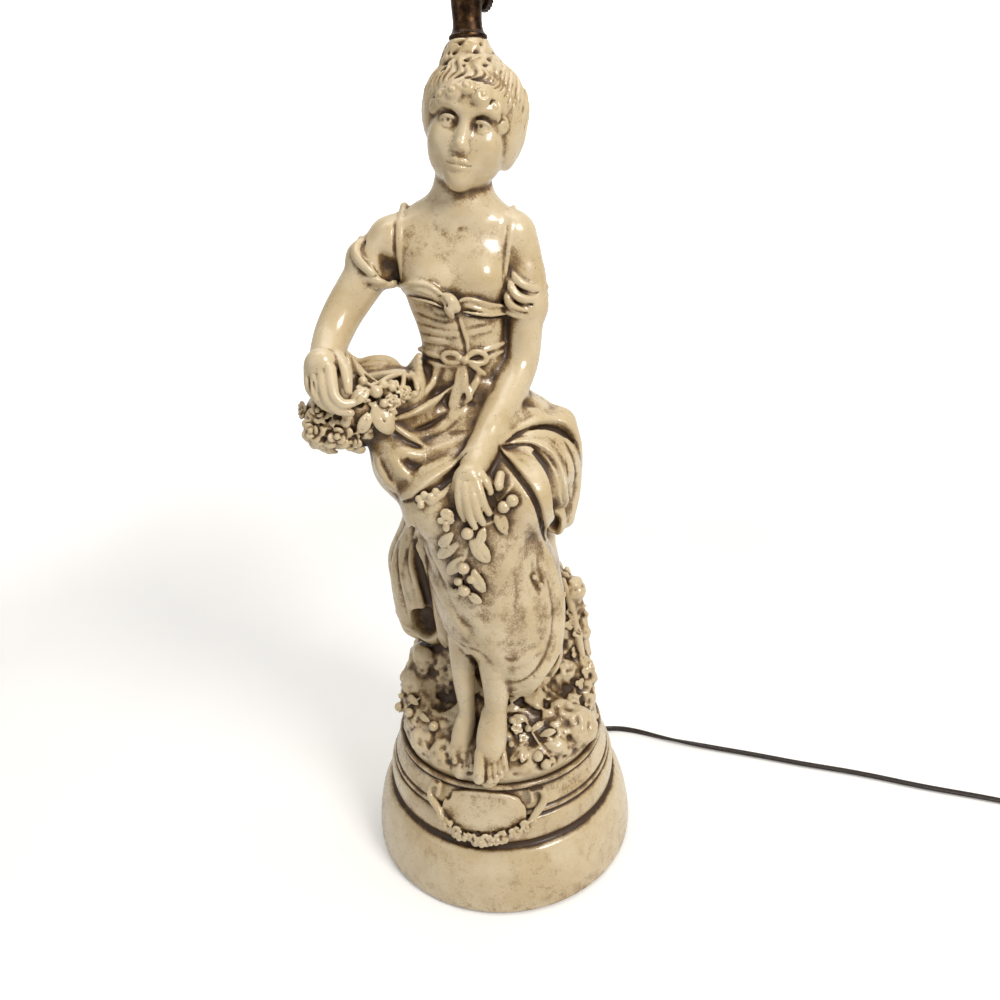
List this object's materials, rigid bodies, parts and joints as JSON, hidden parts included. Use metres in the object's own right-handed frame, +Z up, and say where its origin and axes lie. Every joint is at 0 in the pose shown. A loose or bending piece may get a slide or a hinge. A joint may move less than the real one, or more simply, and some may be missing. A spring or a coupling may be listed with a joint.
{
  "type": "figural table lamp",
  "caption": "Table lamp: glazed seated girl with a gathered apron of flowers on a stump and round moulded plinth, bronze neck with turn switch, screw lampholder and flat cord.",
  "frame": {"origin": "middle of the underside of the felt disc, on the axis of the threaded pipe", "axes": "+Z up along the pipe, -Y the figure's front, +X the viewer's right"},
  "size_m": [0.6984, 0.2655, 0.7331],
  "materials": {
    "glazed_casting": "gloss cream glaze over a brown wash in the recesses",
    "felt": "short brown felt",
    "zinc_steel": "zinc-plated steel",
    "bronze": "dark bronzed brass",
    "phenolic": "black phenolic moulding",
    "dark_knob": "dark brown moulded knob",
    "lead_sheath": "PVC lead sheath",
    "lampholder_brass": "antique brass lampholder",
    "terminal_brass": "plain brass",
    "thread_aluminium": "rolled aluminium screw shell",
    "sleeve_card": "fibre card sleeve",
    "black_plastic": "dark moulded plastic",
    "cord_sheath": "dark brown two-core flat cord",
    "blade_brass": "nickelled brass blades"
  },
  "bodies": {
    "lamp": {"plinth_casting": "glazed_casting", "figure_casting": "glazed_casting", "felt_pad": "felt", "threaded_pipe": "zinc_steel", "clamp_washer": "zinc_steel", "clamp_nut": "zinc_steel", "nipple": "zinc_steel", "nipple_nut": "zinc_steel", "seating_washer": "felt", "neck_collar": "bronze", "switch_body": "phenolic", "switch_bushing": "bronze", "bushing_nut": "bronze", "switch_leads": "lead_sheath", "socket_cap": "lampholder_brass", "cap_screw": "zinc_steel", "socket_body": "phenolic", "terminal_screws": "terminal_brass", "centre_contact": "terminal_brass", "screw_shell": "thread_aluminium", "insulating_sleeve": "sleeve_card", "socket_shell": "lampholder_brass", "cord_bushing": "black_plastic", "inner_cord": "cord_sheath", "free_cord": "cord_sheath", "cord_coil": "cord_sheath", "plug_body": "black_plastic", "plug_blades": "blade_brass"},
    "switch_key": {"turn_knob": "dark_knob", "switch_shaft": "bronze"}
  },
  "joints": [
    {"name": "switch_turn", "type": "hinge", "parent": "lamp", "child": "switch_key", "pos_m": [0.01018, 0.01018, 0.6445], "axis": [0.7071, 0.7071, 0], "continuous": true}
  ]
}
